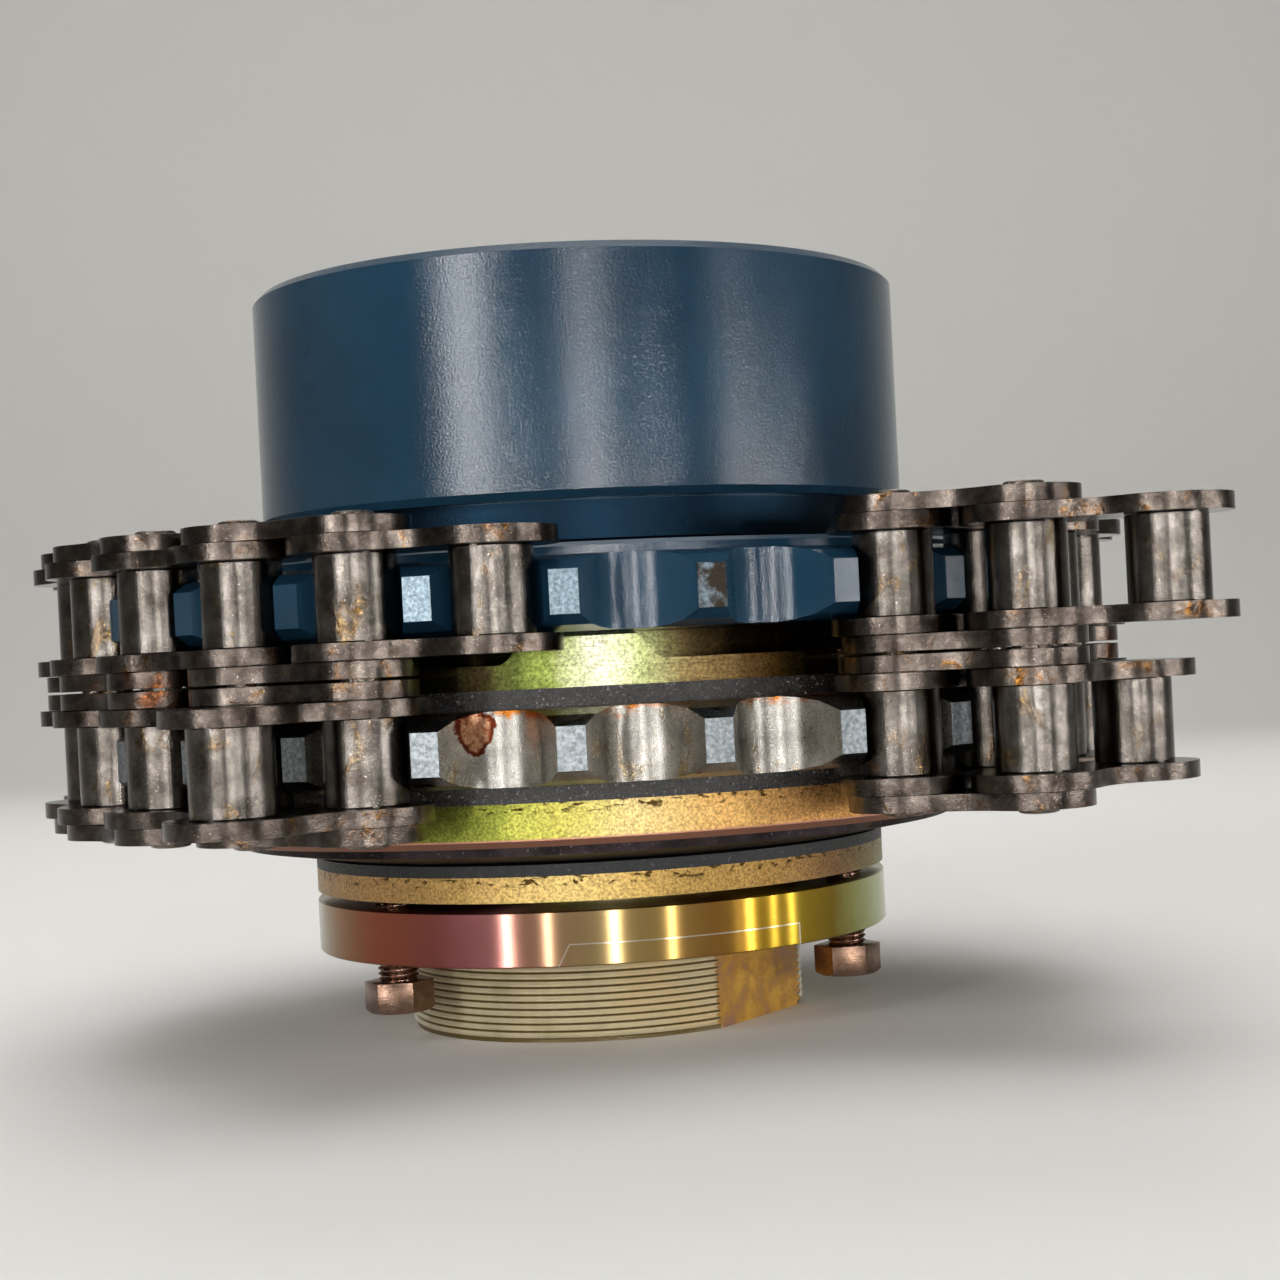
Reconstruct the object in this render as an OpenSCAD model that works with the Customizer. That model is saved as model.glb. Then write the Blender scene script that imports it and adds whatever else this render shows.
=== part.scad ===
/* [Chain] */
// Pitch of the chain, from one pin to the next
pitch = 50.8; // [49.6:0.1:52.4]
// Outer diameter of a roller
roller_d = 30; // [27:0.1:30.6]
// Room between the two inner plates of one strand
inner_w = 31.75; // [30:0.05:34]
// Thickness of every link plate
plate_t = 6.3; // [5:0.1:7]
// Height of an inner plate at its round ends
inner_plate_h = 48.2; // [44:0.1:48.6]
// Height of an outer or middle plate at its round ends
outer_plate_h = 41.6; // [36:0.1:46]
// Height of a plate at its waist, as a share of its end
plate_waist = 0.72; // [0.6:0.01:0.85]
// Diameter of a pin
pin_d = 14.3; // [12:0.1:15.5]
// Outer diameter of a bush in an inner link
bush_d = 20.6; // [19:0.1:23]
// Height of the peened pin head above the outer plate
pin_head_h = 2.5; // [1:0.1:4]
// Gap between the plates of neighbouring links
link_gap = 0.25; // [0.2:0.05:0.5]
// Gap between the two middle plates that join the strands
middle_gap = 1.05; // [0.4:0.05:2]

/* [Sprockets] */
// Number of teeth of both sprockets, an even number
teeth = 26; // [26:2:30]
// Width of the teeth along the axis
tooth_w = 27.6; // [25:0.1:28.8]
// How far the tooth tips stand outside the pitch circle
tip_rise = 6.4; // [4:0.1:7.5]
// Width of the flat land left on each tooth tip, along the axis
land_w = 15.8; // [12:0.1:20]
// Lean of a tooth flank from the radius, in degrees
flank_lean = 31; // [28:0.5:34]
// Room between a roller and its tooth seat
seat_gap = 0.3; // [0.25:0.05:0.6]
// Angle of the tooth gap next to the front, in degrees
tooth_turn = 4.6; // [0:0.1:8]

/* [Coupling sprocket] */
// Diameter of the large painted hub
coupling_hub_d = 280; // [240:1:300]
// Length of the large painted hub
coupling_hub_len = 98.4; // [60:0.2:140]
// Diameter of the neck between the hub and the teeth
coupling_neck_d = 258; // [230:1:270]
// Length of the neck
coupling_neck_len = 18.6; // [12:0.2:40]
// Diameter of the low shoulder on the toothed plate
coupling_shoulder_d = 336; // [290:1:350]
// Height of the low shoulder
coupling_shoulder_h = 6; // [3:0.5:9]
// Bore of the coupling sprocket
coupling_bore_d = 130; // [100:1:150]
// Width of its keyway
coupling_key_w = 32; // [24:1:40]
// Depth of its keyway
coupling_key_h = 7.4; // [5:0.2:10]

/* [Limiter hub] */
// Bore of the limiter hub
hub_bore_d = 100; // [70:1:115]
// Width of its keyway
hub_key_w = 28; // [20:1:32]
// Depth of its keyway
hub_key_h = 6.4; // [4:0.2:8]
// Outer diameter of the hub's thread
thread_d = 172; // [160:1:178]
// Distance between thread crests
thread_pitch = 3; // [2:0.5:4]
// Depth of the thread
thread_depth = 1.4; // [0.8:0.1:1.8]
// Distance across the two milled flats
hub_flats = 157.5; // [152:0.5:159.5]
// Direction of the first flat from the front, in degrees
flat_turn = 54.5; // [30:0.5:80]
// Diameter of the smooth seat that carries the bush
barrel_d = 180; // [179:0.5:184]
// Diameter of the flange
flange_d = 352; // [320:1:360]
// Thickness of the flange's rim
flange_t = 9.2; // [6:0.2:12]
// Number of raised pads on the flange
pad_count = 3; // [3:1:4]
// Width of a pad at its foot
pad_w = 61.5; // [44:0.5:80]
// Length of the slope at each side of a pad, along its width
pad_slope = 13; // [6:0.5:20]
// Chamfer on the outer top edge of a pad
pad_edge = 1.4; // [0.4:0.1:3]
// Radial length of a pad
pad_len = 46; // [20:1:60]
// Direction of the first pad from the front, in degrees
pad_turn = -1.3; // [-20:0.1:20]
// Diameter of the raised boss inside the pads
boss_d = 236; // [200:1:250]

/* [Friction stack] */
// Outer diameter of the friction facings
facing_d = 356; // [320:1:362]
// Inner diameter of the friction facings
facing_bore_d = 204; // [198:1:240]
// Thickness of a friction facing
facing_t = 7.1; // [4:0.1:9]
// Wall of the bush inside the centre sprocket
bush_wall = 7; // [5:0.5:8]
// Outer diameter of the pressure plate
pressure_d = 352; // [320:1:360]
// Thickness of the pressure plate
pressure_t = 16.5; // [10:0.5:20]
// Chamfer on the pressure plate's lower edge
pressure_chamfer = 2.5; // [1:0.1:4]
// Outer diameter of the disc spring
spring_d = 310; // [260:1:320]
// Thickness of the disc spring
spring_t = 4.8; // [3:0.1:6]
// Free cone height of the disc spring
spring_cone = 6.2; // [4:0.1:9]
// Inner diameter of the disc spring
spring_bore_d = 236; // [180:1:240]
// Room between the hub's thread and the backing ring
backing_room = 2; // [1:0.1:6]
// How much smaller than the pilot plate the backing ring and thrust plate are, in diameter
thrust_step = 0.4; // [0:0.1:8]
// Thickness of the backing ring
backing_t = 4.6; // [3:0.2:6]
// Thickness of the thrust plate
thrust_t = 10.2; // [8:0.2:14]

/* [Pilot plate and bolts] */
// Outer diameter of the pilot plate
pilot_d = 249.4; // [244:0.2:260]
// Thickness of the pilot plate
pilot_t = 22; // [16:0.5:26]
// Chamfer on both edges of the pilot plate
pilot_edge = 0.6; // [0.3:0.1:2]
// Height of the pilot plate above the hub's end
pilot_rise = 36.2; // [32:0.2:46]
// Room between the pilot plate and the thrust plate
pilot_room = 3.6; // [2:0.2:8]
// Number of adjusting bolts
bolt_count = 3; // [3:1:4]
// Diameter of an adjusting bolt
bolt_d = 17; // [14:0.5:20]
// Distance from the pilot plate's rim in to a bolt's axis
bolt_inset = 14.2; // [12:0.1:16]
// Width of a bolt head across its flats
bolt_head_af = 24.6; // [22:0.1:30]
// Height of a bolt head
bolt_head_h = 12.6; // [9:0.2:16]
// Length of shank seen between head and pilot plate
bolt_stand_off = 8.2; // [4:0.2:12]
// Length of the bevel at a bolt's tip
bolt_tip = 1.5; // [0.5:0.1:3]
// Direction of the first bolt from the front, in degrees
bolt_turn = -51; // [-60:0.5:-40]
// Turn of the bolt heads, in degrees
bolt_head_turn = 48; // [0:1:59]

/* [Loose chain ends] */
// How far the right-hand link has swung out of its seat, in degrees
right_link_swing = 129.5; // [124:0.5:132]
// Bend of the upper right end link against the right-hand link, in degrees
right_upper_bend = 3; // [0:1:40]
// Bend of the lower right end link against the right-hand link, in degrees
right_lower_bend = 58; // [0:1:60]
// How far the lower left end link has swung out of its seat, in degrees
left_lower_swing = 130.5; // [40:0.5:134]

/* [Hidden] */
$fn = 96;
// Radial room between a shaft and the hole it runs in
run_gap = 0.05;
// Room between flat faces that slide past each other
rest_gap = 0.2;
// Overshoot of a cutting shape past the face it cuts
over = 1;
// How far above the seats' floor the lean of the tooth sides begins
side_foot = 1.5;
// How much steeper than its seat's edge a tooth flank starts, in degrees
flank_break = 4;

pitch_r = pitch / (2 * sin(180 / teeth));
tip_r = pitch_r + tip_rise;
roller_r = roller_d / 2;
pin_r = pin_d / 2;
bush_r = bush_d / 2;
seat_r = roller_r + seat_gap;
hub_r = thread_d / 2;
barrel_r = barrel_d / 2;
bush_out_r = barrel_r + run_gap + bush_wall;
thrust_r = (pilot_d - thrust_step) / 2;
bolt_circle_r = pilot_d / 2 - bolt_inset;

// Heights of the stack, from the threaded end up
pilot_z = pilot_rise;
thrust_z = pilot_z + pilot_t + pilot_room;
backing_z = thrust_z + thrust_t;
spring_z = backing_z + backing_t;
pressure_z = spring_z + spring_cone + spring_t;
lower_facing_z = pressure_z + pressure_t;
centre_z = lower_facing_z + facing_t;
upper_facing_z = centre_z + tooth_w;
flange_z = upper_facing_z + facing_t;
flange_top = flange_z + flange_t;

// The lower strand rests on the centre sprocket, and the upper strand follows from it
strand_pitch = inner_w + 4 * plate_t + 2 * link_gap + middle_gap;
lower_strand_z = upper_facing_z + seat_gap - inner_w / 2;
upper_strand_z = lower_strand_z + strand_pitch;
chain_mid_z = (lower_strand_z + upper_strand_z) / 2;
coupling_z = upper_strand_z - inner_w / 2 + seat_gap;
pad_top = coupling_z - rest_gap;
pad_h = pad_top - flange_top;
outer_plate_z = strand_pitch / 2 + inner_w / 2 + plate_t + link_gap;
pin_half = outer_plate_z + plate_t + pin_head_h;

// Seats are counted from the front gap, and the wrapped pins run clockwise round the back
last_pin = teeth - 4;
function seat(k) =
    let (a = tooth_turn + k * 360 / teeth)
    [pitch_r * sin(a), -pitch_r * cos(a)];
function wrapped(j) = seat(-2 - j);
function heading(a, b) = atan2(b[1] - a[1], b[0] - a[0]);
function step(p, h) = [p[0] + pitch * cos(h), p[1] + pitch * sin(h)];

left_pin = wrapped(0);
left_root = wrapped(1);
right_root = wrapped(last_pin);
left_seat_heading = heading(left_pin, seat(-1));
right_seat_heading = heading(right_root, seat(1));
right_heading = right_seat_heading + right_link_swing;
right_pin = step(right_root, right_heading);
left_upper_heading = left_seat_heading;
left_lower_heading = left_seat_heading - left_lower_swing;
right_upper_heading = right_heading + right_upper_bend;
right_lower_heading = right_heading + right_lower_bend;

steel = "#4a4541";
dark_steel = "#332f2c";
zinc = "#b59a55";
paint = "#2c4a5e";
bare = "#9a9a98";

// A flat ring with its lower face at z
module ring(z, h, outer_r, bore_r) {
    translate([0, 0, z])
        difference() {
            cylinder(h = h, r = outer_r);
            translate([0, 0, -over])
                cylinder(h = h + 2 * over, r = bore_r);
        }
}

// The space between the hub's two milled flats
module between_flats(z, h, across) {
    rotate([0, 0, flat_turn])
        translate([-hub_r - over, -across / 2, z])
            cube([2 * hub_r + 2 * over, across, h]);
}

// A plate that slides on the hub and is turned by its flats
module keyed_plate(z, h, outer_r) {
    difference() {
        translate([0, 0, z])
            cylinder(h = h, r = outer_r);
        intersection() {
            translate([0, 0, z - over])
                cylinder(h = h + 2 * over, r = hub_r + rest_gap);
            between_flats(z - over, h + 2 * over, hub_flats + 2 * rest_gap);
        }
    }
}

// A bore with one keyway, open at both ends
module keyed_bore(z, h, bore_d, key_w, key_h) {
    translate([0, 0, z - over]) {
        cylinder(h = h + 2 * over, d = bore_d);
        translate([-key_w / 2, 0, 0])
            cube([key_w, bore_d / 2 + key_h, h + 2 * over]);
    }
}

// Profile of the hub's threaded end: crests and roots below the pilot plate, plain above
module thread_profile(plain_z, top) {
    turns = floor(plain_z / thread_pitch) - 1;
    polygon(concat(
        [[0, 0], [hub_r - thread_depth, 0]],
        [for (i = [0 : turns - 1], s = [0, 1])
            [s == 0 ? hub_r - thread_depth : hub_r, (i + (s == 0 ? 0.5 : 1)) * thread_pitch]],
        [[hub_r, top], [0, top]]
    ));
}

// Front view of a pad: each side swings from a hollow foot into a round shoulder
module pad_outline() {
    steps = 10;
    side = [for (i = [0 : steps])
        [pad_w / 2 - pad_slope * i / steps, flange_top + pad_h * (1 - cos(180 * i / steps)) / 2]];
    polygon(concat(
        [[pad_w / 2, flange_top - over]], side,
        [for (i = [steps : -1 : 0]) [-side[i][0], side[i][1]]],
        [[-pad_w / 2, flange_top - over]]
    ));
}

// One raised pad of the flange, a little inside the flange's rim
module flange_pad() {
    pad_r = flange_d / 2 - pad_edge / 4;
    intersection() {
        translate([0, 0, flange_top - over])
            difference() {
                union() {
                    cylinder(h = pad_h + over - pad_edge, r = pad_r);
                    translate([0, 0, pad_h + over - pad_edge])
                        cylinder(h = pad_edge, r1 = pad_r, r2 = pad_r - pad_edge);
                }
                translate([0, 0, -over])
                    cylinder(h = pad_h + 3 * over, r = flange_d / 2 - pad_len);
            }
        rotate([90, 0, 0])
            linear_extrude(height = flange_d)
                pad_outline();
    }
}

module limiter_hub() {
    color(zinc)
        difference() {
            union() {
                intersection() {
                    rotate_extrude()
                        thread_profile(pilot_z, lower_facing_z + facing_t / 2);
                    between_flats(-over, centre_z + over, hub_flats);
                }
                translate([0, 0, lower_facing_z + rest_gap])
                    cylinder(h = flange_z - lower_facing_z, r = barrel_r);
                translate([0, 0, flange_z])
                    cylinder(h = flange_t, d = flange_d);
                translate([0, 0, flange_z])
                    cylinder(h = pad_top - flange_z, d = boss_d);
                for (i = [0 : pad_count - 1])
                    rotate([0, 0, pad_turn + i * 360 / pad_count])
                        flange_pad();
            }
            keyed_bore(0, pad_top, hub_bore_d, hub_key_w, hub_key_h);
        }
}

module upper_facing() {
    color(dark_steel)
        ring(upper_facing_z, facing_t, facing_d / 2, facing_bore_d / 2);
}

module lower_facing() {
    color(dark_steel)
        ring(lower_facing_z, facing_t, facing_d / 2, facing_bore_d / 2);
}

// Turned blank of the toothed rim: the sides lean in towards the tips
module tooth_blank(z) {
    half = tooth_w / 2;
    side = half - land_w / 2;
    rise = tip_r - (pitch_r - seat_r) - side_foot;
    translate([0, 0, z + half])
        rotate_extrude($fn = 180)
            polygon([
                [0, -half], [tip_r - rise, -half], [tip_r - rise * 0.42, -half + side * 0.36],
                [tip_r, -land_w / 2], [tip_r, land_w / 2],
                [tip_r - rise * 0.42, half - side * 0.36], [tip_r - rise, half], [0, half]
            ]);
}

// Outline of one gap between teeth: a round seat that opens into straight flanks
module tooth_gap_outline() {
    start = flank_lean - flank_break;
    foot_y = -seat_r * sin(start) - over * cos(flank_lean);
    foot_x = seat_r * cos(start) - over * sin(flank_lean);
    reach = tip_rise * 4;
    run = (reach - foot_y) * tan(flank_lean);
    circle(r = seat_r);
    polygon([[-foot_x, foot_y], [foot_x, foot_y], [foot_x + run, reach], [-foot_x - run, reach]]);
}

module tooth_gaps(z) {
    for (k = [0 : teeth - 1])
        rotate([0, 0, tooth_turn + k * 360 / teeth])
            translate([0, -pitch_r, z - over])
                rotate([0, 0, 180])
                    linear_extrude(height = tooth_w + 2 * over)
                        tooth_gap_outline();
}

module centre_sprocket() {
    color(bare)
        difference() {
            tooth_blank(centre_z);
            tooth_gaps(centre_z);
            translate([0, 0, centre_z - over])
                cylinder(h = tooth_w + 2 * over, r = bush_out_r);
        }
}

module centre_bush() {
    color("#8a6a3a")
        ring(centre_z - facing_t / 2, tooth_w + facing_t, bush_out_r, barrel_r + run_gap);
}

module pressure_plate() {
    color(zinc)
        difference() {
            translate([0, 0, pressure_z]) {
                cylinder(h = pressure_chamfer, r1 = pressure_d / 2 - pressure_chamfer, r2 = pressure_d / 2);
                translate([0, 0, pressure_chamfer])
                    cylinder(h = pressure_t - pressure_chamfer, d = pressure_d);
            }
            intersection() {
                translate([0, 0, pressure_z - over])
                    cylinder(h = pressure_t + 2 * over, r = hub_r + rest_gap);
                between_flats(pressure_z - over, pressure_t + 2 * over, hub_flats + 2 * rest_gap);
            }
        }
}

// The spring's inner rim sits on the backing ring and its outer rim presses the plate above
module disc_spring() {
    color(dark_steel)
        rotate_extrude()
            polygon([
                [spring_bore_d / 2, spring_z], [spring_d / 2, spring_z + spring_cone],
                [spring_d / 2, pressure_z], [spring_bore_d / 2, spring_z + spring_t]
            ]);
}

module backing_ring() {
    color(dark_steel)
        ring(backing_z, backing_t, thrust_r, hub_r + backing_room);
}

module thrust_plate() {
    color(zinc)
        keyed_plate(thrust_z, thrust_t, thrust_r);
}

module at_bolt(i) {
    rotate([0, 0, bolt_turn + i * 360 / bolt_count])
        translate([0, -bolt_circle_r, 0])
            children();
}

module pilot_plate() {
    rim_r = pilot_d / 2;
    color(zinc)
        difference() {
            translate([0, 0, pilot_z]) {
                cylinder(h = pilot_edge, r1 = rim_r - pilot_edge, r2 = rim_r);
                translate([0, 0, pilot_edge])
                    cylinder(h = pilot_t - 2 * pilot_edge, r = rim_r);
                translate([0, 0, pilot_t - pilot_edge])
                    cylinder(h = pilot_edge, r1 = rim_r, r2 = rim_r - pilot_edge);
            }
            translate([0, 0, pilot_z - over])
                cylinder(h = pilot_t + 2 * over, r = hub_r + run_gap);
            for (i = [0 : bolt_count - 1])
                at_bolt(i)
                    translate([0, 0, pilot_z - over])
                        cylinder(h = pilot_t + 2 * over, r = bolt_d / 2 + run_gap);
        }
}

// Hexagon bolt that hangs head down and pushes the thrust plate with its tip
module adjusting_bolt(i) {
    head_r = bolt_head_af / 2 / cos(30);
    head_top = pilot_z - bolt_stand_off;
    tip_z = thrust_z - rest_gap;
    face_r = 0.96 * bolt_head_af / 2;
    color(zinc)
        at_bolt(i) {
            translate([0, 0, head_top - bolt_head_h])
                intersection() {
                    rotate([0, 0, bolt_head_turn])
                        cylinder(h = bolt_head_h, r = head_r, $fn = 6);
                    cylinder(h = bolt_head_h, r1 = face_r, r2 = face_r + 1.7 * bolt_head_h);
                }
            rotate_extrude()
                polygon([
                    [0, head_top - over], [bolt_d / 2, head_top - over], [bolt_d / 2, tip_z - bolt_tip],
                    [bolt_d / 2 - bolt_tip, tip_z], [0, tip_z]
                ]);
        }
}

module adjusting_bolt_1() { adjusting_bolt(0); }
module adjusting_bolt_2() { adjusting_bolt(1); }
module adjusting_bolt_3() { adjusting_bolt(2); }

module coupling_sprocket() {
    top = coupling_z + tooth_w;
    neck_top = top + coupling_shoulder_h + coupling_neck_len;
    hub_top = neck_top + coupling_hub_len;
    hub_out = coupling_hub_d / 2;
    edge = 3;
    color(paint)
        difference() {
            union() {
                tooth_blank(coupling_z);
                rotate_extrude()
                    polygon([
                        [0, top - over], [coupling_shoulder_d / 2, top - over],
                        [coupling_shoulder_d / 2, top + coupling_shoulder_h - edge / 2],
                        [coupling_shoulder_d / 2 - edge / 2, top + coupling_shoulder_h],
                        [coupling_neck_d / 2 + edge, top + coupling_shoulder_h],
                        [coupling_neck_d / 2, top + coupling_shoulder_h + edge],
                        [coupling_neck_d / 2, neck_top], [hub_out - edge, neck_top],
                        [hub_out, neck_top + edge], [hub_out, hub_top - edge],
                        [hub_out - edge, hub_top], [0, hub_top]
                    ]);
            }
            tooth_gaps(coupling_z);
            keyed_bore(coupling_z, hub_top - coupling_z, coupling_bore_d, coupling_key_w, coupling_key_h);
        }
}

// Waisted outline of a link plate from the origin to the next pin along X
module plate_outline(h) {
    waist = h * plate_waist / 2;
    end_r = h / 2;
    hollow_r = (pitch * pitch / 4 + waist * waist - end_r * end_r) / (h - 2 * waist);
    hollow_y = waist + hollow_r + 0.03;
    shoulder = end_r * hollow_y / (end_r + hollow_r) - 0.05;
    difference() {
        union() {
            circle(r = end_r);
            translate([pitch, 0])
                circle(r = end_r);
            translate([0, -shoulder])
                square([pitch, 2 * shoulder]);
        }
        for (s = [-1, 1])
            translate([pitch / 2, s * hollow_y])
                circle(r = hollow_r);
    }
}

module link_plate(h, hole_r) {
    linear_extrude(height = plate_t)
        difference() {
            plate_outline(h);
            circle(r = hole_r);
            translate([pitch, 0])
                circle(r = hole_r);
        }
}

module on_link(p, h) {
    translate([p[0], p[1], chain_mid_z])
        rotate([0, 0, h])
            children();
}

module outer_pair(p, h) {
    color(steel)
        on_link(p, h) {
            translate([0, 0, outer_plate_z])
                link_plate(outer_plate_h, pin_r);
            translate([0, 0, -outer_plate_z - plate_t])
                link_plate(outer_plate_h, pin_r);
        }
}

module middle_pair(p, h) {
    color(dark_steel)
        on_link(p, h) {
            translate([0, 0, middle_gap / 2])
                link_plate(outer_plate_h, pin_r);
            translate([0, 0, -middle_gap / 2 - plate_t])
                link_plate(outer_plate_h, pin_r);
        }
}

// Inner plates of one strand: s is 1 above the middle plates and -1 below them
module inner_pair(p, h, s) {
    color(steel)
        on_link(p, h)
            translate([0, 0, s * strand_pitch / 2]) {
                translate([0, 0, inner_w / 2])
                    link_plate(inner_plate_h, bush_r);
                translate([0, 0, -inner_w / 2 - plate_t])
                    link_plate(inner_plate_h, bush_r);
            }
}

module pin(p) {
    straight = outer_plate_z + plate_t;
    color(steel)
        translate([p[0], p[1], chain_mid_z]) {
            translate([0, 0, -straight])
                cylinder(h = 2 * straight, r = pin_r, $fn = 48);
            translate([0, 0, straight])
                cylinder(h = pin_head_h, r1 = pin_r + 0.7, r2 = pin_r - 0.6, $fn = 48);
            translate([0, 0, -straight - pin_head_h])
                cylinder(h = pin_head_h, r1 = pin_r - 0.6, r2 = pin_r + 0.7, $fn = 48);
        }
}

module link_bush(p, s) {
    color(dark_steel)
        translate([p[0], p[1], chain_mid_z + s * strand_pitch / 2 - inner_w / 2 - plate_t])
            difference() {
                cylinder(h = inner_w + 2 * plate_t, r = bush_r, $fn = 48);
                translate([0, 0, -over])
                    cylinder(h = inner_w + 2 * plate_t + 2 * over, r = pin_r + run_gap, $fn = 48);
            }
}

module roller(p, s) {
    len = inner_w - 2 * link_gap;
    edge = 0.9;
    bore_r = bush_r + run_gap;
    color("#6b645c")
        translate([p[0], p[1], chain_mid_z + s * strand_pitch / 2 - len / 2])
            rotate_extrude($fn = 64)
                polygon([
                    [bore_r, 0], [roller_r - edge, 0], [roller_r, edge],
                    [roller_r, len - edge], [roller_r - edge, len], [bore_r, len]
                ]);
}

module chain_outer_plates() {
    for (j = [2 : 2 : last_pin - 2])
        outer_pair(wrapped(j), heading(wrapped(j), wrapped(j + 1)));
}

module chain_middle_plates() {
    for (j = [2 : 2 : last_pin - 2])
        middle_pair(wrapped(j), heading(wrapped(j), wrapped(j + 1)));
}

module chain_pins() {
    for (j = [2 : last_pin - 1])
        pin(wrapped(j));
}

module chain_bushes() {
    for (j = [1 : last_pin], s = [-1, 1])
        link_bush(wrapped(j), s);
}

module wrapped_inner_plates(s) {
    for (j = [1 : 2 : last_pin - 1])
        inner_pair(wrapped(j), heading(wrapped(j), wrapped(j + 1)), s);
}

module wrapped_rollers(s) {
    for (j = [1 : last_pin])
        roller(wrapped(j), s);
}

module upper_inner_plates() { wrapped_inner_plates(1); }
module lower_inner_plates() { wrapped_inner_plates(-1); }
module upper_rollers() { wrapped_rollers(1); }
module lower_rollers() { wrapped_rollers(-1); }

module left_link_plates() {
    outer_pair(left_pin, heading(left_pin, left_root));
    middle_pair(left_pin, heading(left_pin, left_root));
}

module left_link_pins() {
    pin(left_pin);
    pin(left_root);
}

module right_link_plates() {
    outer_pair(right_root, right_heading);
    middle_pair(right_root, right_heading);
}

module right_link_pins() {
    pin(right_root);
    pin(right_pin);
}

module end_bushes(p, h, s) {
    link_bush(p, s);
    link_bush(step(p, h), s);
}

module left_upper_end_plates() { inner_pair(left_pin, left_upper_heading, 1); }
module left_upper_end_bushes() { end_bushes(left_pin, left_upper_heading, 1); }
module left_upper_root_roller() { roller(left_pin, 1); }
module left_upper_tip_roller() { roller(step(left_pin, left_upper_heading), 1); }

module left_lower_end_plates() { inner_pair(left_pin, left_lower_heading, -1); }
module left_lower_end_bushes() { end_bushes(left_pin, left_lower_heading, -1); }
module left_lower_root_roller() { roller(left_pin, -1); }
module left_lower_tip_roller() { roller(step(left_pin, left_lower_heading), -1); }

module right_upper_end_plates() { inner_pair(right_pin, right_upper_heading, 1); }
module right_upper_end_bushes() { end_bushes(right_pin, right_upper_heading, 1); }
module right_upper_root_roller() { roller(right_pin, 1); }
module right_upper_tip_roller() { roller(step(right_pin, right_upper_heading), 1); }

module right_lower_end_plates() { inner_pair(right_pin, right_lower_heading, -1); }
module right_lower_end_bushes() { end_bushes(right_pin, right_lower_heading, -1); }
module right_lower_root_roller() { roller(right_pin, -1); }
module right_lower_tip_roller() { roller(step(right_pin, right_lower_heading), -1); }

limiter_hub();
upper_facing();
lower_facing();
centre_sprocket();
centre_bush();
pressure_plate();
disc_spring();
backing_ring();
thrust_plate();
pilot_plate();
adjusting_bolt_1();
adjusting_bolt_2();
adjusting_bolt_3();
coupling_sprocket();
chain_outer_plates();
chain_middle_plates();
chain_pins();
chain_bushes();
upper_inner_plates();
lower_inner_plates();
upper_rollers();
lower_rollers();
left_link_plates();
left_link_pins();
right_link_plates();
right_link_pins();
left_upper_end_plates();
left_upper_end_bushes();
left_upper_root_roller();
left_upper_tip_roller();
left_lower_end_plates();
left_lower_end_bushes();
left_lower_root_roller();
left_lower_tip_roller();
right_upper_end_plates();
right_upper_end_bushes();
right_upper_root_roller();
right_upper_tip_roller();
right_lower_end_plates();
right_lower_end_bushes();
right_lower_root_roller();
right_lower_tip_roller();
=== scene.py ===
"""Dresses the torque limiter and its duplex roller chain, and sets floor, lights and camera."""

import logging
import math
from dataclasses import dataclass
from enum import Enum
from typing import Any, Callable, Dict, List, Tuple

import bmesh
import bpy
from mathutils import Matrix, Vector


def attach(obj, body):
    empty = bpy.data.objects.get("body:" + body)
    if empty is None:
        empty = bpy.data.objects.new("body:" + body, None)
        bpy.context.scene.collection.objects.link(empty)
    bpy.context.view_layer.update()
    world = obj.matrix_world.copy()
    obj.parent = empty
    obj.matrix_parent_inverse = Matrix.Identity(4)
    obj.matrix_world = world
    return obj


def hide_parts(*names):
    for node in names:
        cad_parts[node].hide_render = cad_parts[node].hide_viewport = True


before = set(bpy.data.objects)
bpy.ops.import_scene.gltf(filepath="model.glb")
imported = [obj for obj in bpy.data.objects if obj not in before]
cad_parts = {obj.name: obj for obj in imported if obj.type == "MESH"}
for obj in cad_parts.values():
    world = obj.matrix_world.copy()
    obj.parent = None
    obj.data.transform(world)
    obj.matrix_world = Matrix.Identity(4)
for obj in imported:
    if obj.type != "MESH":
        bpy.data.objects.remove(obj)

LOG = logging.getLogger("torque_limiter")
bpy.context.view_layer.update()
MM = 0.001
# Depth of the fine relief that the bump of a finish stands for, in millimetres.
BUMP_MM = 0.4
# How strongly the finer levels of every noise show.
NOISE_ROUGH = 0.62
# Noise values between which the grain takes a finish from its least rough to its most rough.
GRAIN_RANGE = (0.3, 0.7)
# How far the limits of specks and of stains spread about a noise's middle, and their softness.
SPECK_LIMITS = (0.3, 0.07)
STAIN_LIMITS = (0.36, 0.15)
# Size of a speck and of a grain of grit, as multiples of the fine grain.
SPECK_SIZE = 1.7
GRIT_SIZE = 1.3
# Dried oil: its ripples in millimetres, its relief, and how much smoother it is.
RIPPLE_MM = 2.2
WET_RELIEF = 3.0
WET_ROUGH = -0.1
# How far the drift of colour and painted reflections on zinc plate reaches to each side of the
# axis, in metres.
DRIFT_AND_REFLECTION_REACH = 0.18

Colour = Tuple[float, float, float, float]
Pair = Tuple[float, float]
# A colour ramp as text: the place of each stop in percent, then its sRGB hex colour.
Stops = str
Node = bpy.types.ShaderNode
Socket = bpy.types.NodeSocket
Tree = bpy.types.ShaderNodeTree
Piece = bpy.types.Object


class Side(Enum):
    """The end of the open chain that a loose link belongs to."""

    LEFT = "left"
    RIGHT = "right"


class Strand(Enum):
    """One of the two rows of rollers of the duplex chain."""

    UPPER = "upper"
    LOWER = "lower"


class Mark(Enum):
    """What a zinc plated surface still shows of how it was made."""

    TURNED = "turned"
    FORGED = "forged"


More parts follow.
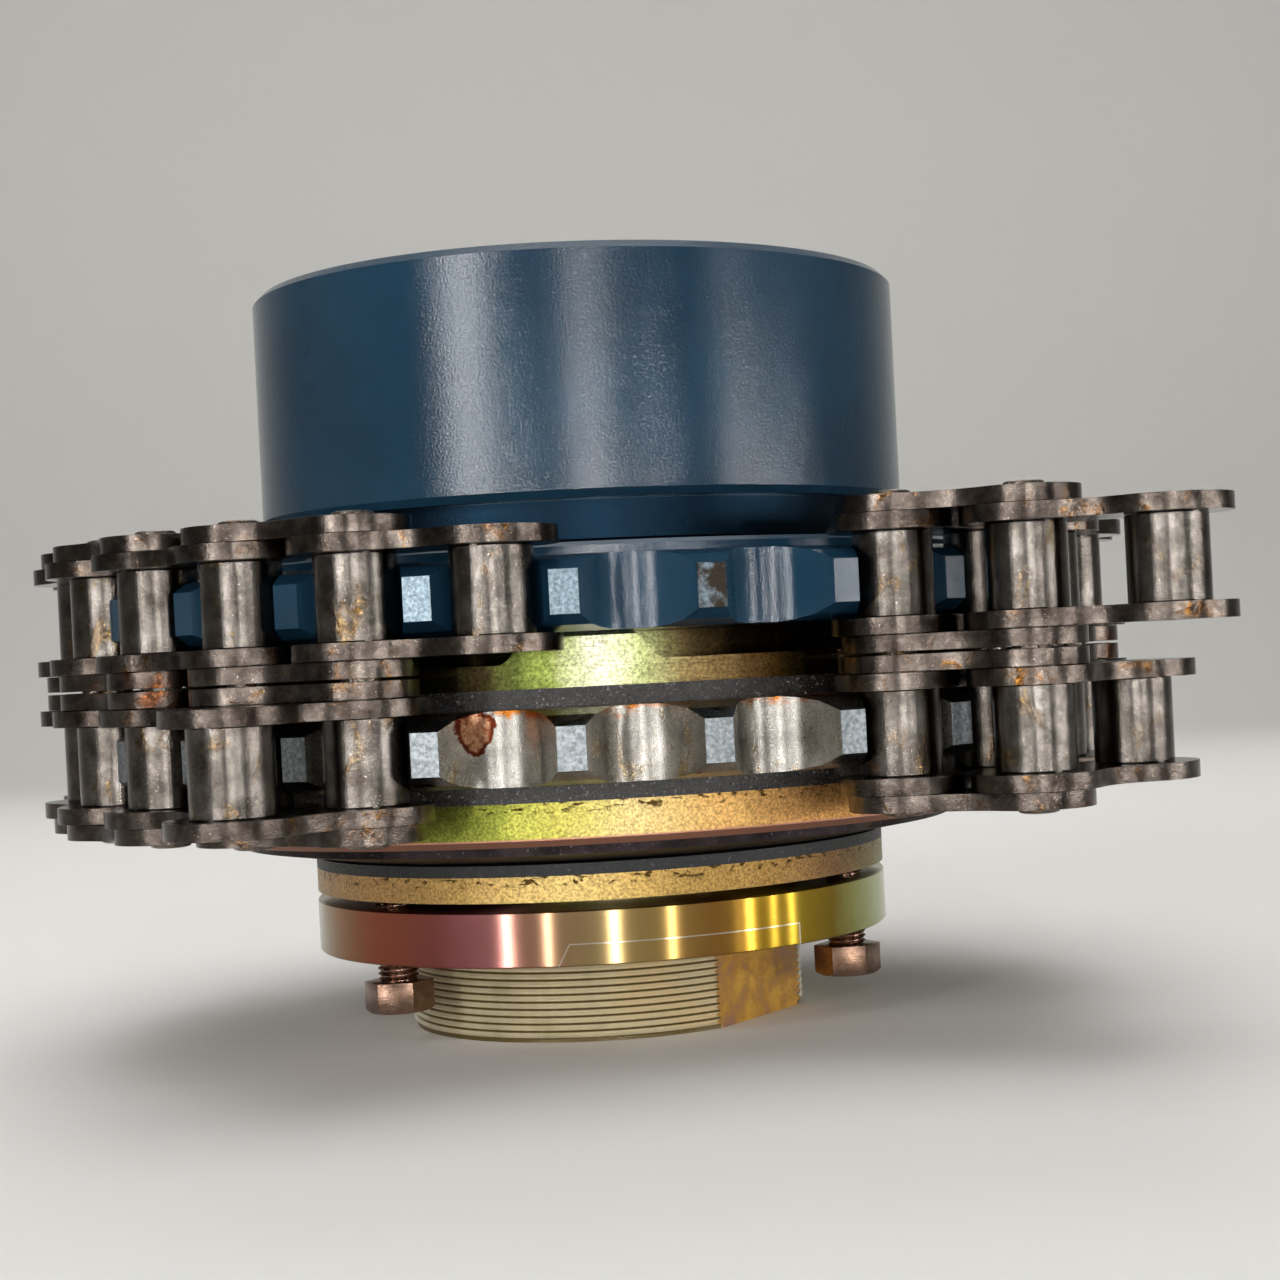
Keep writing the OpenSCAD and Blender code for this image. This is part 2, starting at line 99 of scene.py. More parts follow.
def linear(code: str) -> Colour:
    """Turns an sRGB hex colour into the linear colour that a socket takes.

    Args:
        code: A colour such as "#2c4a5e".

    Returns:
        Linear red, green, blue and an alpha of 1.
    """
    parts = [int(code[i:i + 2], 16) / 255 for i in (1, 3, 5)]
    flat = [c / 12.92 if c <= 0.04045 else ((c + 0.055) / 1.055) ** 2.4 for c in parts]
    return (flat[0], flat[1], flat[2], 1.0)


def add(tree: Tree, kind: str, inputs: Any = (), out: Any = 0, stops: Stops = "",
        **settings: Any) -> Any:
    """Adds one node to a material, sets it and feeds its inputs.

    Args:
        tree: The material's node tree.
        kind: The node's type name without the word ShaderNode, then its operation if any.
        inputs: Values and sockets, in the inputs' order or by their names or numbers.
        out: Name or number of the output that is wanted, or None for the node itself.
        stops: Places and colours of a colour ramp, in rising order.
        **settings: The node's own properties.

    Returns:
        The wanted output, or the node.
    """
    kind, _, operation = kind.partition(" ")
    node = tree.nodes.new("ShaderNode" + kind)
    if operation:
        node.operation = operation
    for name, value in settings.items():
        setattr(node, name, value)
    for key, value in inputs.items() if isinstance(inputs, dict) else enumerate(inputs):
        if isinstance(value, Socket):
            tree.links.new(value, node.inputs[key])
        else:
            node.inputs[key].default_value = value
    words = stops.split()
    elements = node.color_ramp.elements if words else ()
    while len(elements) < len(words) // 2:
        elements.new(0.5)
    for element, place, code in zip(elements, words[::2], words[1::2]):
        element.position = float(place) / 100
        element.color = linear(code)
    return node if out is None else node.outputs[out]


def spots(where: Socket, size_mm: float, detail: float = 4.0,
          distortion: float = 0.0) -> Dict[str, Any]:
    """Gives a noise's inputs for spots of about one size.

    Args:
        where: The coordinate that the pattern is read at.
        size_mm: Size of a spot.
        detail: Levels of finer detail.
        distortion: How far the spots are stirred.

    Returns:
        The inputs by name.
    """
    return {"Vector": where, "Scale": 1 / (size_mm * MM), "Detail": detail,
            "Roughness": NOISE_ROUGH, "Distortion": distortion}


def cover(share: float, spread: float, soft: float) -> Pair:
    """Noise values that a mask rises between, to cover about a share of the surface."""
    edge = 0.5 + (0.5 - share) * spread
    return (edge, edge + soft)


@dataclass
class Skin:
    """A material in the making: its nodes, and its colour, roughness and fine height so far."""

    tree: Tree
    shader: Node
    where: Socket
    colour: Socket
    rough: Socket
    height: Socket

    def lay(self, over: Any, *masks: Any, blend: str = "MIX") -> Any:
        """Lays a colour over the present one where every mask is 1.

        Args:
            over: A hex colour, or the socket that gives the colour.
            *masks: One or more masks, which are multiplied together.
            blend: How the two colours are mixed.

        Returns:
            The product of the masks.
        """
        mask = masks[0]
        for other in masks[1:]:
            mask = add(self.tree, "Math MULTIPLY", (mask, other))
        top = linear(over) if isinstance(over, str) else over
        self.colour = add(self.tree, "Mix", {0: mask, 6: self.colour, 7: top}, 2,
                          data_type="RGBA", blend_type=blend)
        return mask

    def spotted(self, stops: Stops, size_mm: float, detail: float = 4.0,
                distortion: float = 0.0) -> Socket:
        """Makes a colour that goes through the stops in spots of about one size."""
        noise = add(self.tree, "TexNoise", spots(self.where, size_mm, detail, distortion))
        return add(self.tree, "ValToRGB", (noise,), stops=stops)

    def by_height(self, low_mm: float, high_mm: float) -> Socket:
        """Makes a mask that goes from 0 at the first height to 1 at the second."""
        height = add(self.tree, "SeparateXYZ", (self.where,), "Z")
        return add(self.tree, "MapRange", (height, low_mm * MM, high_mm * MM))

    def by_reach(self, low_mm: float, high_mm: float) -> Socket:
        """Makes a mask that goes from 0 to 1 between two distances from the part's axis."""
        across = add(self.tree, "VectorMath MULTIPLY", (self.where, (1, 1, 0)))
        reach = add(self.tree, "VectorMath LENGTH", (across,), 1)
        return add(self.tree, "MapRange", (reach, low_mm * MM, high_mm * MM))


@dataclass(frozen=True)
class Finish:
    """A finish with mottled colour, grain, specks and stains, read in object coordinates.

    Grain and wave are pairs of size in millimetres and depth, and rough is a range.
    """

    name: str
    colours: Stops
    grain: Pair = (0.6, 0.15)
    patch_mm: float = 30.0
    wave: Pair = (3.0, 0.0)
    rough: Pair = (0.25, 0.45)
    metallic: float = 1.0
    specks: Stops = ""
    speck_share: float = 0.25
    stains: Stops = ""
    stain_share: float = 0.0
    stain_mm: float = 12.0
    stain_run: float = 1.0

    def mottle(self, tree: Tree, shader: Node) -> Skin:
        """Makes the broken-up colour, roughness and fine height of the finish.

        Args:
            tree: The material's node tree.
            shader: Its surface shader.

        Returns:
            The skin before the finish's own details.
        """
        where = add(tree, "TexCoord", out="Object")
        grain = add(tree, "TexNoise", spots(where, self.grain[0], detail=3.0))
        patch = add(tree, "TexNoise", spots(where, self.patch_mm, detail=5.0))
        skin = Skin(
            tree, shader, where,
            colour=add(tree, "ValToRGB", (patch,), stops=self.colours),
            rough=add(tree, "MapRange", (grain, *GRAIN_RANGE, *self.rough)),
            height=grain)
        if self.wave[1]:
            # Rolled and tumbled faces are never flat: low waves break up what they reflect.
            wave = add(tree, "TexNoise", spots(where, self.wave[0], detail=2.0))
            skin.height = add(tree, "Math MULTIPLY_ADD", (wave, self.wave[1], grain))
        # Specks lighter than the finish are painted glints kept in the colour.
        if self.specks:
            speck = add(tree, "TexNoise", spots(where, self.grain[0] * SPECK_SIZE))
            mask = add(tree, "MapRange", (speck, *cover(self.speck_share, *SPECK_LIMITS)))
            skin.lay(add(tree, "ValToRGB", (grain,), stops=self.specks), mask)
        if self.stains:
            # Oil runs down before it dries, so a stain may be drawn longer along Z.
            run = add(tree, "Mapping", {"Vector": where, "Scale": (1, 1, self.stain_run)})
            blot = add(tree, "TexNoise", spots(run, self.stain_mm, detail=6.0, distortion=0.6))
            mask = add(tree, "MapRange", (blot, *cover(self.stain_share, *STAIN_LIMITS)))
            ripple = add(tree, "TexNoise", spots(where, RIPPLE_MM, detail=3.0))
            skin.lay(add(tree, "ValToRGB", (ripple,), stops=self.stains), mask)
            skin.rough = add(tree, "Math MULTIPLY_ADD", (mask, WET_ROUGH, skin.rough))
            beads = add(tree, "Math MULTIPLY", (mask, ripple))
            skin.height = add(tree, "Math MULTIPLY_ADD", (beads, WET_RELIEF, skin.height))
        return skin

    def detail(self, skin: Skin) -> None:
        """Adds what only this finish has. A plain finish has nothing more."""

    def material(self) -> bpy.types.Material:
        """Makes the finished material."""
        material = bpy.data.materials.new(self.name)
        material.use_nodes = True
        tree = material.node_tree
        tree.nodes.clear()
        shader = add(tree, "BsdfPrincipled", {"Metallic": self.metallic}, None)
        add(tree, "OutputMaterial", (shader.outputs["BSDF"],), None)
        skin = self.mottle(tree, shader)
        self.detail(skin)
        bump = add(tree, "Bump", {"Strength": self.grain[1], "Distance": BUMP_MM * MM,
                                  "Height": skin.height})
        for name, socket in (("Base Color", skin.colour), ("Roughness", skin.rough),
                             ("Normal", bump)):
            tree.links.new(socket, shader.inputs[name])
        return material


@dataclass(frozen=True)
class ZincFinish(Finish):
    """Yellow zinc plate: gold that drifts to green and pink from one side to the other, with
    painted reflections in the drift.
    """

    bands: Stops = ""
    band_share: float = 0.7
    stir: float = 0.1
    stir_mm: float = 9.0
    grit: Stops = ""
    mark: Mark = Mark.TURNED
    line_mm: float = 0.5
    line_squeeze: float = 0.02
    line_relief: float = 0.15
    pit_top_mm: float = 0.0
    pit_deep_mm: float = 4.5
    pit_fade_mm: float = 1.5
    pit_mm: float = 2.2
    pit_squeeze: float = 0.45
    pit_limits: Pair = (0.56, 0.62)
    pit_colour: str = "#4a3618"
    foot_top_mm: float = 0.0
    foot_fade_mm: float = 0.6
    foot_colour: str = "#a87864"

    def detail(self, skin: Skin) -> None:
        """Adds the drift of colour with its painted reflections, then turned lines or the pits of
        forging.
        """
        tree, where = skin.tree, skin.where
        if self.bands:
            # The colour goes by X, stirred so that no edge between two bands is straight. The
            # bands hold the plating's colour together with painted reflections and highlights,
            # fixed to the piece.
            stirred = add(tree, "TexNoise", spots(where, self.stir_mm))
            middle = add(tree, "Math MULTIPLY_ADD", (stirred, self.stir, 0.5 - self.stir / 2))
            across = add(tree, "SeparateXYZ", (where,), "X")
            along = add(tree, "Math MULTIPLY_ADD", (across, 1 / (2 * DRIFT_AND_REFLECTION_REACH), middle))
            skin.lay(add(tree, "ValToRGB", (along,), stops=self.bands), self.band_share)
        if self.grit:
            # Each grain of a forged or sprayed surface gets painted shade in its hollows and a
            # painted highlight on its top.
            skin.lay(skin.spotted(self.grit, self.grain[0] * GRIT_SIZE), 1.0,
                     blend="MULTIPLY")
        if self.mark is Mark.TURNED:
            # Lines lie round the piece, so the pattern is stretched across and tight along Z.
            squeezed = add(tree, "Mapping", {
                "Vector": where, "Scale": (self.line_squeeze, self.line_squeeze, 1.0)})
            lines = add(tree, "TexNoise", spots(squeezed, self.line_mm, detail=2.0))
            skin.height = add(tree, "Math MULTIPLY_ADD", (skin.height, self.line_relief, lines))
        if self.pit_top_mm:
            # Scale left by forging shows as flat dark pits below the upper edge.
            flat = add(tree, "Mapping", {
                "Vector": where, "Scale": (self.pit_squeeze, self.pit_squeeze, 1.0)})
            scale = add(tree, "TexNoise", spots(flat, self.pit_mm, detail=5.0, distortion=0.3))
            low = self.pit_top_mm - self.pit_deep_mm
            pits = skin.lay(self.pit_colour, add(tree, "MapRange", (scale, *self.pit_limits)),
                            skin.by_height(low, low + self.pit_fade_mm))
            skin.height = add(tree, "Math MULTIPLY_ADD", (pits, -1.0, skin.height))
        if self.foot_top_mm:
            # The turned bevel at the foot kept a smooth, pink-gold plating.
            skin.lay(self.foot_colour,
                     skin.by_height(self.foot_top_mm, self.foot_top_mm - self.foot_fade_mm))


@dataclass(frozen=True)
class HubFinish(ZincFinish):
    """Zinc plate of the limiter hub: drifting colour with a painted highlight and painted shade on
    the flange, olive on its thread.
    """

    thread: Stops = ""
    thread_top_mm: float = 37.0
    thread_patch_mm: float = 30.0
    thread_metal: float = 0.35
    root_r_mm: float = 84.6
    root_shade_colour: str = "#5c4c26"
    flat_half_mm: float = 78.75
    flat_turn: float = 54.5
    flat_patch_mm: float = 14.0
    flat_gold: Stops = "34 #a67c64 50 #c39040 62 #dcaa48"

    def detail(self, skin: Skin) -> None:
        """Adds the flange's drift with its painted highlight and shade, and painted shade between
        the thread's crests.
        """
        super().detail(skin)
        tree = skin.tree
        low = skin.by_height(self.thread_top_mm + 1, self.thread_top_mm)
        skin.lay(skin.spotted(self.thread, self.thread_patch_mm, detail=3.0), low)
        # Painted shade darkens the roots between the thread's crests.
        skin.lay(self.root_shade_colour, low, skin.by_reach(self.root_r_mm - 0.75, self.root_r_mm - 0.4),
                 skin.by_reach(self.root_r_mm + 0.6, self.root_r_mm + 0.25))
        # The milled flats kept a browner gold than the thread.
        turn = math.radians(self.flat_turn)
        outwards = (math.sin(turn), -math.cos(turn), 0)
        out = add(tree, "VectorMath DOT_PRODUCT", (skin.where, outwards), 1)
        depth = add(tree, "Math ABSOLUTE", (out,))
        flat = add(tree, "MapRange", (depth, (self.flat_half_mm - 0.2) * MM,
                                      (self.flat_half_mm - 0.1) * MM))
        skin.lay(skin.spotted(self.flat_gold, self.flat_patch_mm, 5.0, 0.4), low, flat)
        # Dust and oil dull the plating here, so it scatters more than the flange does.
        dull = add(tree, "MapRange", {"Value": low, "To Min": 1.0, "To Max": self.thread_metal})
        tree.links.new(dull, skin.shader.inputs["Metallic"])


@dataclass(frozen=True)
class ScribedFinish(ZincFinish):
    """Turned and plated rim with one fine setting line scribed on its front."""

    line_z_mm: float = 45.0
    left_x_mm: float = -14.5
    right_x_mm: float = 78.2
    line_w_mm: float = 0.34
    line_soft_mm: float = 0.12
    line_lean: float = 0.54
    line_colour: str = "#d8cfc0"

    def within(self, tree: Tree, value: Socket, low: float, high: float) -> Socket:
        """Makes a mask that is 1 between two values, with soft edges outside them."""
        soft = self.line_soft_mm * MM
        above = add(tree, "MapRange", (value, low - soft, low))
        below = add(tree, "MapRange", (value, high + soft, high))
        return add(tree, "Math MULTIPLY", (above, below))

    def detail(self, skin: Skin) -> None:
        """Adds the scribed line: level, with a slanted left end and an upright right end."""
        super().detail(skin)
        # Turning lines lie level, so they spread a lamp's reflection up and down.
        skin.shader.inputs["Anisotropic"].default_value = 1.0
        skin.shader.inputs["Anisotropic Rotation"].default_value = 0.25
        tree = skin.tree
        x, y, z = (add(tree, "SeparateXYZ", (skin.where,), axis) for axis in "XYZ")
        half = self.line_w_mm / 2 * MM
        top, left, right = (at * MM for at in (self.line_z_mm, self.left_x_mm, self.right_x_mm))
        # The slanted end leans, so its X is measured from a line that moves with Z.
        lean = add(tree, "Math MULTIPLY_ADD", (z, -self.line_lean, x))
        foot = left - self.line_lean * top
        front = add(tree, "MapRange", (y, 0.0, -1 * MM))
        below = skin.by_height(self.line_z_mm + self.line_w_mm / 2 + self.line_soft_mm,
                               self.line_z_mm + self.line_w_mm / 2)
        level = self.within(tree, z, top - half, top + half)
        for stroke in ((level, self.within(tree, x, left, right)),
                       (below, self.within(tree, x, right - half, right + half)),
                       (below, self.within(tree, lean, foot - half, foot + half))):
            skin.lay(self.line_colour, *stroke, front)


@dataclass(frozen=True)
class PaintFinish(Finish):
    """Sprayed slate-blue enamel with orange peel, filed to bare steel on three tooth lands."""

    land_r_mm: float = 217.0
    land_turns: Tuple[float, ...] = (-16.2, -2.3, 11.5)
    land_half_mm: float = 9.0
    steel: Stops = "35 #4e5a62 50 #66737b 65 #7f8c94"
    steel_mm: float = 1.4
    dirt_colour: str = "#2e2822"
    dirt_mm: float = 7.0
    dirt_limits: Pair = (0.3, 0.5)
    neck_r_mm: float = 129.0
    neck_top_mm: float = 218.35
    neck_shade_colour: str = "#12222f"
    neck_shade_and_land_rough: float = 0.25

    def detail(self, skin: Skin) -> None:
        """Adds painted shade in the neck and the bare lands, the last of them smeared with old
        oil.
        """
        tree = skin.tree
        # Painted shade: the neck under the hub's overhang gets a near-black colour that reflects
        # little.
        neck_shade_and_lands = skin.lay(self.neck_shade_colour,
                        skin.by_reach(self.neck_r_mm + 2.5, self.neck_r_mm + 0.5),
                        skin.by_height(self.neck_top_mm + 0.5, self.neck_top_mm - 0.5))
        on_land = skin.by_reach(self.land_r_mm - 0.25, self.land_r_mm - 0.15)
        steel = skin.spotted(self.steel, self.steel_mm)
        across = add(tree, "VectorMath MULTIPLY", (skin.where, (1, 1, 0)))
        for turn in self.land_turns:
            a = math.radians(turn)
            centre = (self.land_r_mm * MM * math.sin(a), -self.land_r_mm * MM * math.cos(a), 0)
            away = add(tree, "VectorMath DISTANCE", (across, centre), 1)
            near = add(tree, "MapRange", (away, (self.land_half_mm + 1) * MM,
                                          self.land_half_mm * MM))
            land = skin.lay(steel, on_land, near)
            neck_shade_and_lands = add(tree, "Math MAXIMUM", (neck_shade_and_lands, land))
        dirt = add(tree, "TexNoise", spots(skin.where, self.dirt_mm))
        skin.lay(self.dirt_colour, land, add(tree, "MapRange", (dirt, *self.dirt_limits)))
        # The neck's painted shade and the bare lands are metallic, and rougher than the paint.
        tree.links.new(neck_shade_and_lands, skin.shader.inputs["Metallic"])
        skin.rough = add(tree, "Math MULTIPLY_ADD", (neck_shade_and_lands, self.neck_shade_and_land_rough, skin.rough))


@dataclass(frozen=True)
class ToothFinish(Finish):
    """Milled bare steel with old oil that has run and dried on the teeth."""

    land_r_mm: float = 217.0
    land_rough: float = 0.16
    worn: Stops = "36 #6b7072 50 #82878a 64 #9a9fa2"
    worn_mm: float = 1.6
    edge_z_mm: float = 138.8
    edge_share: float = 0.28
    rust: Stops = "30 #4c240c 70 #8c5218"
    rust_mm: float = 16.0
    rust_limits: Pair = (0.70, 0.82)
    drip_at_mm: Tuple[float, float, float] = (-43.0, -191.0, 131.5)
    drip_r_mm: float = 6.4
    drip_rim_mm: float = 2.0
    drip_taper: float = 42.0
    drip_squash: float = 0.78
    drip_ragged: float = 0.004
    drip_wobble_mm: float = 3.5
    front_m: Pair = (-0.17, -0.18)
    drip_edge: str = "#4a1f10"
    dried: Stops = "35 #6e3a20 65 #a88468"

    def detail(self, skin: Skin) -> None:
        """Adds pale lands, rust and amber oil under the upper edge, and one dried drip."""
        tree, where = skin.tree, skin.where
        land = skin.lay(skin.spotted(self.worn, self.worn_mm),
                        skin.by_reach(self.land_r_mm - 0.3, self.land_r_mm - 0.2))
        skin.rough = add(tree, "Math MULTIPLY_ADD", (land, self.land_rough, skin.rough))
        top = skin.by_height(self.edge_z_mm - 6.5, self.edge_z_mm - 0.5)
        blot = add(tree, "TexNoise", spots(where, self.rust_mm, detail=5.0, distortion=0.4))
        run = add(tree, "Math MULTIPLY_ADD", (top, self.edge_share, blot))
        skin.lay(add(tree, "ValToRGB", (skin.height,), stops=self.rust),
                 add(tree, "MapRange", (run, *self.rust_limits)))
        centre = tuple(c * MM for c in self.drip_at_mm)
        away = add(tree, "VectorMath SUBTRACT", (where, centre))
        x, z = (add(tree, "SeparateXYZ", (away,), axis) for axis in "XZ")
        # The drip narrows as it runs down, so X counts for more further down.
        taper = add(tree, "Math MULTIPLY_ADD", (z, -self.drip_taper, 1.0))
        shape = add(tree, "CombineXYZ", {
            "X": add(tree, "Math MULTIPLY", (x, taper)),
            "Z": add(tree, "Math MULTIPLY", (z, self.drip_squash))})
        far = add(tree, "VectorMath LENGTH", (shape,), 1)
        wobble = add(tree, "TexNoise", spots(where, self.drip_wobble_mm))
        ragged = add(tree, "Math MULTIPLY_ADD", (wobble, self.drip_ragged, far))
        depth = add(tree, "SeparateXYZ", (where,), "Y")
        front = add(tree, "MapRange", (depth, *self.front_m))
        rim = self.drip_r_mm + self.drip_rim_mm
        # The dried middle starts inside the dark rim, with a softer edge.
        for over, edge, soft in ((self.drip_edge, rim, 0.4),
                                 (skin.spotted(self.dried, 3.0), rim - 1.8, 0.8)):
            skin.lay(over, add(tree, "MapRange", (ragged, (edge + soft) * MM, edge * MM)), front)


# Heat-treated chain steel under old oil: brown-grey and satin, wet and amber where oil dried.
CHAIN_STEEL = Finish(
    "oiled_heat_treated_steel", "30 #261f1b 50 #463f3a 70 #686059", grain=(0.55, 0.16),
    patch_mm=12.0, wave=(1.5, 1.3), rough=(0.16, 0.26), specks="35 #6e6661 65 #8a837d",
    speck_share=0.04, stains="35 #22150a 50 #4a3014 70 #78541f", stain_share=0.34)
# Middle plates sit deepest in the oil, so they are darker and browner.
MIDDLE_STEEL = Finish(
    "dark_oiled_plate_steel", "30 #2e2723 50 #4a413b 70 #675d56", grain=(0.55, 0.18),
    patch_mm=12.0, wave=(1.6, 1.3), rough=(0.16, 0.26), specks="35 #746a62 65 #90867c",
    speck_share=0.02, stains="35 #2a140a 50 #502a12 70 #7c4e20", stain_share=0.46, stain_mm=14.0)
# Bushes are seen only inside the rollers, near black with oil.
BUSH_STEEL = Finish(
    "oil_blackened_bush_steel", "30 #15120f 70 #2b2622", grain=(0.8, 0.15), patch_mm=8.0,
    rough=(0.25, 0.4))
# Peened pin ends keep a brighter, hammered face.
PIN_STEEL = Finish(
    "peened_pin_steel", "30 #4a423c 70 #857c72", grain=(0.9, 0.3), patch_mm=5.0, wave=(2.0, 3.0),
    rough=(0.2, 0.36), specks="35 #8a8075 65 #b4aa9e", speck_share=0.2,
    stains="35 #24160a 50 #5a3a16 70 #94681f", stain_share=0.36, stain_mm=6.0)
# Curled and tumbled rollers: smooth grey-brown satin, with amber oil run down from the top.
ROLLER_STEEL = Finish(
    "tumbled_roller_steel", "30 #38332e 50 #534e49 70 #6c6762", grain=(0.6, 0.2), patch_mm=10.0,
    rough=(0.14, 0.22), specks="35 #544e47 65 #8e8880", speck_share=0.1,
    stains="35 #38290f 50 #594320 70 #7e6430", stain_share=0.34, stain_run=0.6)
# Milled teeth of the driven member: mid grey, with amber oil that has run down them.
TOOTH_STEEL = ToothFinish(
    "milled_bare_steel", "30 #6a6762 50 #85827c 72 #a09d97", grain=(0.6, 0.16), patch_mm=14.0,
    wave=(5.0, 2.0), rough=(0.22, 0.36), specks="35 #5f5546 65 #7e7258", speck_share=0.16,
    stains="35 #4c3a1c 50 #7a6234 70 #a8904e", stain_share=0.34, stain_mm=14.0, stain_run=0.5)
# Sprayed enamel over cast iron: satin, with a fine orange peel that sparkles in highlights.
ENAMEL = PaintFinish(
    "slate_blue_enamel", "30 #132c3e 50 #173447 72 #1c3c50", grain=(1.0, 0.34), patch_mm=60.0,
    rough=(0.07, 0.13), metallic=0.0)
# Shade of the grains of rough zinc plate, from the dark hollows to the lit tops.
GRITTY: Stops = "34 #a8a8a8 50 #dcdcdc 62 #ffffff"
# Forged and plated pressure plate: rough gold, green at the left, pitted below its edge.
PRESSURE_ZINC = ZincFinish(
    "yellow_zinc_on_forged_plate", "28 #8f7a3c 45 #b0904a 60 #c09a5a 75 #a8805c", grain=(0.8, 0.5),
    patch_mm=12.0, rough=(0.3, 0.48),
    # Its bands paint a pale gold highlight at the front middle, beside the plating's green at the
    # left.
    bands="28 #555226 34 #6c822e 40 #9eab46 46 #c8c45e 53 #ead290 62 #eab971 "
          "72 #e1a666 80 #bd854b", band_share=0.8, stir=0.08, grit=GRITTY, mark=Mark.FORGED,
    pit_top_mm=104.1, foot_top_mm=91.0)
# Forged and plated thrust plate: rough tan gold, browner at the ends.
THRUST_ZINC = ZincFinish(
    "yellow_zinc_on_thrust_plate", "28 #8f7a40 45 #b3954e 60 #c4a25e 75 #a8846a", grain=(0.8, 0.5),
    patch_mm=12.0, rough=(0.3, 0.48),
    bands="16 #ba9764 24 #d8a86f 34 #cca664 46 #e6c880 55 #c9a460 68 #927040 "
          "77 #8a644a 83 #8c8a58", band_share=0.8, stir=0.08, grit=GRITTY, mark=Mark.FORGED,
    pit_top_mm=72.0)
# The limiter hub has a rough forged flange, and a cut thread at its lower end.
HUB_ZINC = HubFinish(
    "yellow_zinc_on_limiter_hub", "28 #6e6a34 45 #93834a 60 #a8865a 75 #8c6a52", grain=(0.9, 0.45),
    patch_mm=14.0, rough=(0.26, 0.44),
    # Its bands paint a near-white highlight at the front middle of the flange and near-black shade
    # toward both sides.
    bands="28 #0c0b06 38.5 #1c1b10 42 #54662c 45.5 #a8bc5c 50 #f4f2d0 55 #c4cc8c "
          "60 #8f7a50 68 #6e4c28 71.5 #3a2814 74 #100d07", band_share=0.88, stir=0.05, grit=GRITTY,
    thread="34 #c6bb98 50 #d8cdac 66 #dccaa2")
# Turned and plated pilot plate: smooth, pink at the left, gold, then green at the right.
PILOT_ZINC = ScribedFinish(
    "yellow_zinc_on_turned_steel", "30 #7c6a40 50 #96744a 70 #8f6e58", grain=(0.7, 0.05),
    patch_mm=20.0, rough=(0.21, 0.25),
    # Its bands copy upright bands of colour across the front: the plating's pink, gold and green
    # with painted reflections in them.
    bands="16 #78734d 19 #8d6640 24 #954c34 31 #904c4a 36 #b66f77 42 #ac816a "
          "49 #b49c6d 57 #b39353 62 #a67839 67 #b79028 72 #ab902a 76 #887117 "
          "79 #9ea35d 82 #a8b47e 85 #859161", band_share=0.88, stir=0.03)
# Bought-in bolts: thin yellow zinc, purple-brown on the heads.
BOLT_ZINC = ZincFinish(
    "yellow_zinc_bolt", "30 #5c4838 50 #7e6455 72 #957a70", grain=(0.7, 0.16), patch_mm=9.0,
    rough=(0.18, 0.3))
# Moulded friction lining: brown-black with a dull shine, and pale specks that are fibre ends and
# painted glints.
LINING = Finish(
    "moulded_friction_lining", "30 #0d0a08 50 #181411 72 #27201b", grain=(0.7, 0.7), patch_mm=6.0,
    rough=(0.2, 0.42), metallic=0.0, specks="35 #6a645c 65 #a09a92", speck_share=0.14)
# Tempered disc spring, oiled: dark purple-brown edge over a greyer cone.
SPRING_STEEL = Finish(
    "tempered_spring_steel", "30 #1a1517 50 #282223 72 #383132", grain=(0.8, 0.24), patch_mm=16.0,
    rough=(0.36, 0.52), specks="35 #5a5054 65 #766c70", speck_share=0.1,
    stains="35 #24160a 70 #5a4020", stain_share=0.16)
# Backing ring, rough and near black all over.
NEAR_BLACK_RING_FINISH = Finish(
    "rough_near_black_ring", "30 #060606 70 #101011", grain=(1.2, 0.8), patch_mm=5.0, rough=(0.4, 0.6),
    metallic=0.0, specks="35 #2c2d30 65 #505256", speck_share=0.08)
# Sintered bush, hidden but for its rim: brown with oil.
SINTERED_BRONZE = Finish(
    "oil_soaked_sintered_bronze", "30 #6a4a26 70 #94703c", grain=(0.6, 0.3), patch_mm=10.0,
    rough=(0.4, 0.6))


def deselect() -> None:
    """Leaves object mode with nothing selected."""
    if bpy.context.object and bpy.context.object.mode != "OBJECT":
        bpy.ops.object.mode_set(mode="OBJECT")
    bpy.ops.object.select_all(action="DESELECT")


def focus(piece: Piece) -> None:
    """Makes one object the only selected and the active one."""
    deselect()
    piece.select_set(True)
    bpy.context.view_layer.objects.active = piece


def linked(name: str, data: bpy.types.ID) -> Piece:
    """Puts a mesh, lamp or camera into the scene as a new object."""
    item = bpy.data.objects.new(name, data)
    bpy.context.scene.collection.objects.link(item)
    return item


def cylinder(vertices: int, radius_mm: float, depth_mm: float, middle_mm: float = 0.0,
             fill: str = "NGON") -> Piece:
    """Starts a round or hexagonal piece as a bar on Z.

    Args:
        vertices: Number of sides.
        radius_mm: Radius at the corners.
        depth_mm: Length of the bar.
        middle_mm: Height of its middle.
        fill: How its ends are closed.

    Returns:
        The new bar.
    """
    deselect()
    bpy.ops.mesh.primitive_cylinder_add(vertices=vertices, radius=radius_mm * MM,
                                        depth=depth_mm * MM, location=(0, 0, middle_mm * MM),
                                        end_fill_type=fill)
    return bpy.context.object


def pick(piece: Piece, kind: str, wanted: Callable[[Any], bool]) -> None:
    """Enters edit mode and selects the faces or edges, FACE or EDGE, that pass a test."""
    bpy.ops.object.mode_set(mode="EDIT")
    bpy.ops.mesh.select_mode(type=kind)
    mesh = bmesh.from_edit_mesh(piece.data)
    for item in mesh.faces if kind == "FACE" else mesh.edges:
        item.select_set(wanted(item))
    bmesh.update_edit_mesh(piece.data)


